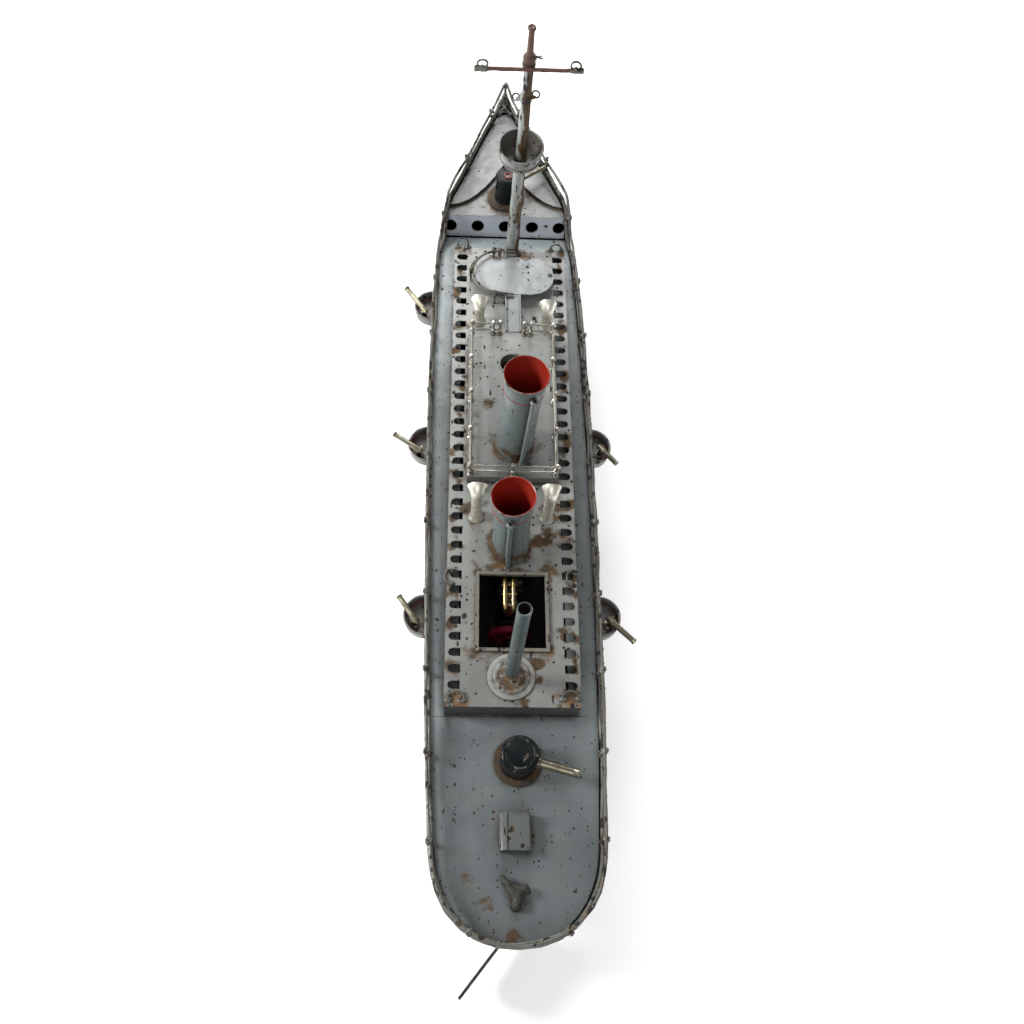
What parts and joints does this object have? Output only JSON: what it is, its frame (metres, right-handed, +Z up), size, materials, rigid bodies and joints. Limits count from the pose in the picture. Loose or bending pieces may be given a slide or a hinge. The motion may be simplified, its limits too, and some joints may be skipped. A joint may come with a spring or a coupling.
{
  "type": "tinplate toy battleship",
  "caption": "Tinplate toy battleship with turrets, side guns, funnels and masts; superstructure lifts off a small steam engine that drives the screw.",
  "frame": {"origin": "on the centreline at the underside of the flat bottom plate, amidships", "axes": "+X to starboard, +Y to the bow, +Z up"},
  "size_m": [0.155, 0.6434, 0.2879],
  "materials": {
    "grey_paint": "blue-grey enamel, chipped, with rust spots",
    "pale_paint": "pale grey enamel, chipped to bare rusty tinplate at edges",
    "hull_paint": "grey enamel on soldered tinplate, scuffed",
    "black_paint": "gloss black enamel, chipped",
    "red_paint": "dark red enamel",
    "mast_paint": "rusted red oxide",
    "wire_paint": "worn grey paint over soldered wire",
    "nickel": "dull nickel plate worn to brass",
    "brass": "tarnished brass",
    "iron": "oiled dark iron",
    "copper": "sooty copper"
  },
  "bodies": {
    "hull": {"hull_shell": "hull_paint", "bottom_plate": "hull_paint", "main_deck": "grey_paint", "gun_deck": "grey_paint", "forecastle_deck": "grey_paint", "guard_rail": "wire_paint", "jackstaff": "wire_paint", "companion_hood": "grey_paint", "sponson_port_fore": "hull_paint", "sponson_port_mid": "hull_paint", "sponson_port_aft": "hull_paint", "sponson_starboard_mid": "hull_paint", "sponson_starboard_aft": "hull_paint", "bow_turret_ring": "iron", "aft_turret_ring": "iron", "stern_tube": "brass", "boiler": "copper", "burner": "brass", "steam_pipe_port": "brass", "steam_pipe_starboard": "brass", "engine_frame": "iron"},
    "superstructure": {"superstructure_walls": "grey_paint", "superstructure_deck": "pale_paint", "hatch_coaming": "pale_paint", "boat_deck": "pale_paint", "boat_deck_rail": "nickel", "bridge_platform": "pale_paint", "bridge_rail": "wire_paint", "catwalk": "pale_paint", "foremast": "grey_paint", "fighting_top": "grey_paint", "topmast": "mast_paint", "yard": "mast_paint", "aft_mast": "grey_paint", "front_funnel": "grey_paint", "aft_funnel": "grey_paint", "front_steam_pipe": "grey_paint", "aft_steam_pipe": "grey_paint"},
    "bow_turret": {"bow_turret_house": "black_paint", "bow_gun_barrel": "brass"},
    "aft_turret": {"aft_turret_house": "black_paint", "aft_gun_barrel": "brass"},
    "rudder": {"rudder": "iron"},
    "steering_handle": {"steering_handle": "nickel"},
    "steering_link": {"steering_link": "iron"},
    "screw_shaft": {"propeller_shaft": "iron", "flywheel": "red_paint", "propeller": "brass"},
    "engine_cylinder": {"steam_cylinder": "nickel"},
    "piston": {"piston": "iron"},
    "regulator_valve": {"regulator_valve": "nickel"},
    "gun_port_fore": {"gun_port_fore": "brass"},
    "gun_port_mid": {"gun_port_mid": "brass"},
    "gun_port_aft": {"gun_port_aft": "brass"},
    "gun_starboard_mid": {"gun_starboard_mid": "brass"},
    "gun_starboard_aft": {"gun_starboard_aft": "brass"},
    "ventilator_fore_port": {"ventilator_fore_port": "nickel"},
    "ventilator_fore_starboard": {"ventilator_fore_starboard": "nickel"},
    "ventilator_aft_port": {"ventilator_aft_port": "nickel"},
    "ventilator_aft_starboard": {"ventilator_aft_starboard": "nickel"}
  },
  "joints": [
    {"name": "superstructure_lift", "type": "slide", "parent": "hull", "child": "superstructure", "axis": [0, 0, 1], "range_m": [0, 0.06]},
    {"name": "bow_turret_train", "type": "hinge", "parent": "hull", "child": "bow_turret", "pos_m": [-0.0002, 0.1975, 0.082], "axis": [0, 0, 1], "continuous": true},
    {"name": "aft_turret_train", "type": "hinge", "parent": "hull", "child": "aft_turret", "pos_m": [0.0015, -0.2204, 0.064], "axis": [0, 0, 1], "range_deg": [-195, 38]},
    {"name": "rudder_turn", "type": "hinge", "parent": "hull", "child": "rudder", "pos_m": [0, -0.3056, 0], "axis": [0, 0, 1], "range_deg": [-2, 81]},
    {"name": "steering_handle_turn", "type": "hinge", "parent": "hull", "child": "steering_handle", "pos_m": [-0.0015, -0.2985, 0.064], "axis": [0, 0, 1], "range_deg": [-2, 81]},
    {"name": "steering_link_pin", "type": "hinge", "parent": "steering_handle", "child": "steering_link", "pos_m": [0.00385, -0.30301, 0.05875], "axis": [0, 0, 1], "range_deg": [-81, 2]},
    {"name": "screw_shaft_spin", "type": "hinge", "parent": "hull", "child": "screw_shaft", "pos_m": [0, -0.1194, 0.022], "axis": [0, 1, 0], "continuous": true},
    {"name": "cylinder_rock", "type": "hinge", "parent": "hull", "child": "engine_cylinder", "pos_m": [0, -0.1168, 0.05], "axis": [0, 1, 0], "range_deg": [-12, 12]},
    {"name": "piston_slide", "type": "slide", "parent": "engine_cylinder", "child": "piston", "axis": [0, 0, 1], "range_m": [-0.012, 0]},
    {"name": "regulator_turn", "type": "hinge", "parent": "hull", "child": "regulator_valve", "pos_m": [0, -0.1092, 0.0636], "axis": [0, 0, 1], "range_deg": [0, 90]},
    {"name": "gun_port_fore_train", "type": "hinge", "parent": "hull", "child": "gun_port_fore", "pos_m": [-0.05894, 0.106, 0.0537], "axis": [0, 0, 1], "range_deg": [-10, 120]},
    {"name": "gun_port_mid_train", "type": "hinge", "parent": "hull", "child": "gun_port_mid", "pos_m": [-0.06041, -0.0105, 0.0537], "axis": [0, 0, 1], "range_deg": [-31, 99]},
    {"name": "gun_port_aft_train", "type": "hinge", "parent": "hull", "child": "gun_port_aft", "pos_m": [-0.06011, -0.132, 0.0537], "axis": [0, 0, 1], "range_deg": [-9, 121]},
    {"name": "gun_starboard_mid_train", "type": "hinge", "parent": "hull", "child": "gun_starboard_mid", "pos_m": [0.06231, -0.0072, 0.0537], "axis": [0, 0, 1], "range_deg": [-15, 115]},
    {"name": "gun_starboard_aft_train", "type": "hinge", "parent": "hull", "child": "gun_starboard_aft", "pos_m": [0.0611, -0.1318, 0.0537], "axis": [0, 0, 1], "range_deg": [-20, 110]},
    {"name": "ventilator_fore_port_turn", "type": "hinge", "parent": "superstructure", "child": "ventilator_fore_port", "pos_m": [-0.02075, 0.08285, 0.082], "axis": [0, 0, 1], "range_deg": [-90, 90]},
    {"name": "ventilator_fore_starboard_turn", "type": "hinge", "parent": "superstructure", "child": "ventilator_fore_starboard", "pos_m": [0.02571, 0.07931, 0.082], "axis": [0, 0, 1], "range_deg": [-90, 90]},
    {"name": "ventilator_aft_port_turn", "type": "hinge", "parent": "superstructure", "child": "ventilator_aft_port", "pos_m": [-0.02311, -0.07024, 0.082], "axis": [0, 0, 1], "range_deg": [-90, 90]},
    {"name": "ventilator_aft_starboard_turn", "type": "hinge", "parent": "superstructure", "child": "ventilator_aft_starboard", "pos_m": [0.02169, -0.07075, 0.082], "axis": [0, 0, 1], "range_deg": [-90, 90]}
  ],
  "couplings": [
    {"joint": "steering_handle_turn", "follows": "rudder_turn", "ratio": 1},
    {"joint": "steering_link_pin", "follows": "rudder_turn", "ratio": -1}
  ]
}
